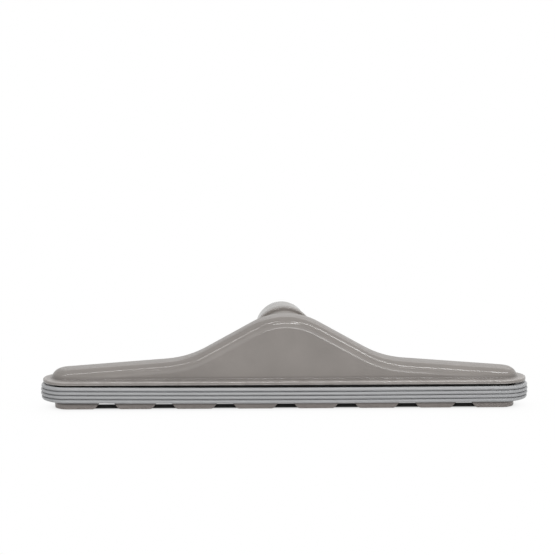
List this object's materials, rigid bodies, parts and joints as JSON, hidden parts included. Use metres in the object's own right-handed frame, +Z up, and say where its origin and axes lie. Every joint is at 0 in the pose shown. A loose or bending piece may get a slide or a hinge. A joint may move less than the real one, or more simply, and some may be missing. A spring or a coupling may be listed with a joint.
{
  "type": "vacuum floor head",
  "caption": "Long slot-shaped vacuum floor head with a humped hood, ribbed bumper strip, scalloped suction lips and a straight swivel neck tube.",
  "frame": {"origin": "middle of the overall box at floor level, under the lips' plane", "axes": "+X along the length, to the right seen from the front; +Y to the rear, along the neck; +Z up"},
  "size_m": [0.35, 0.0988, 0.0671],
  "materials": {
    "hood": "moulded warm grey plastic, half gloss",
    "lip_frame": "moulded taupe plastic, half gloss",
    "bumper_strip": "extruded ribbed cool grey vinyl, satin",
    "neck_tube": "moulded warm grey plastic, half gloss"
  },
  "bodies": {
    "head": {"hood": "hood", "lip_frame": "lip_frame", "bumper_strip": "bumper_strip"},
    "neck": {"neck_tube": "neck_tube"}
  },
  "joints": [
    {"name": "neck_swivel", "type": "hinge", "parent": "head", "child": "neck", "pos_m": [0, 0.00275, 0.0448], "axis": [0, 1, 0], "continuous": true}
  ]
}
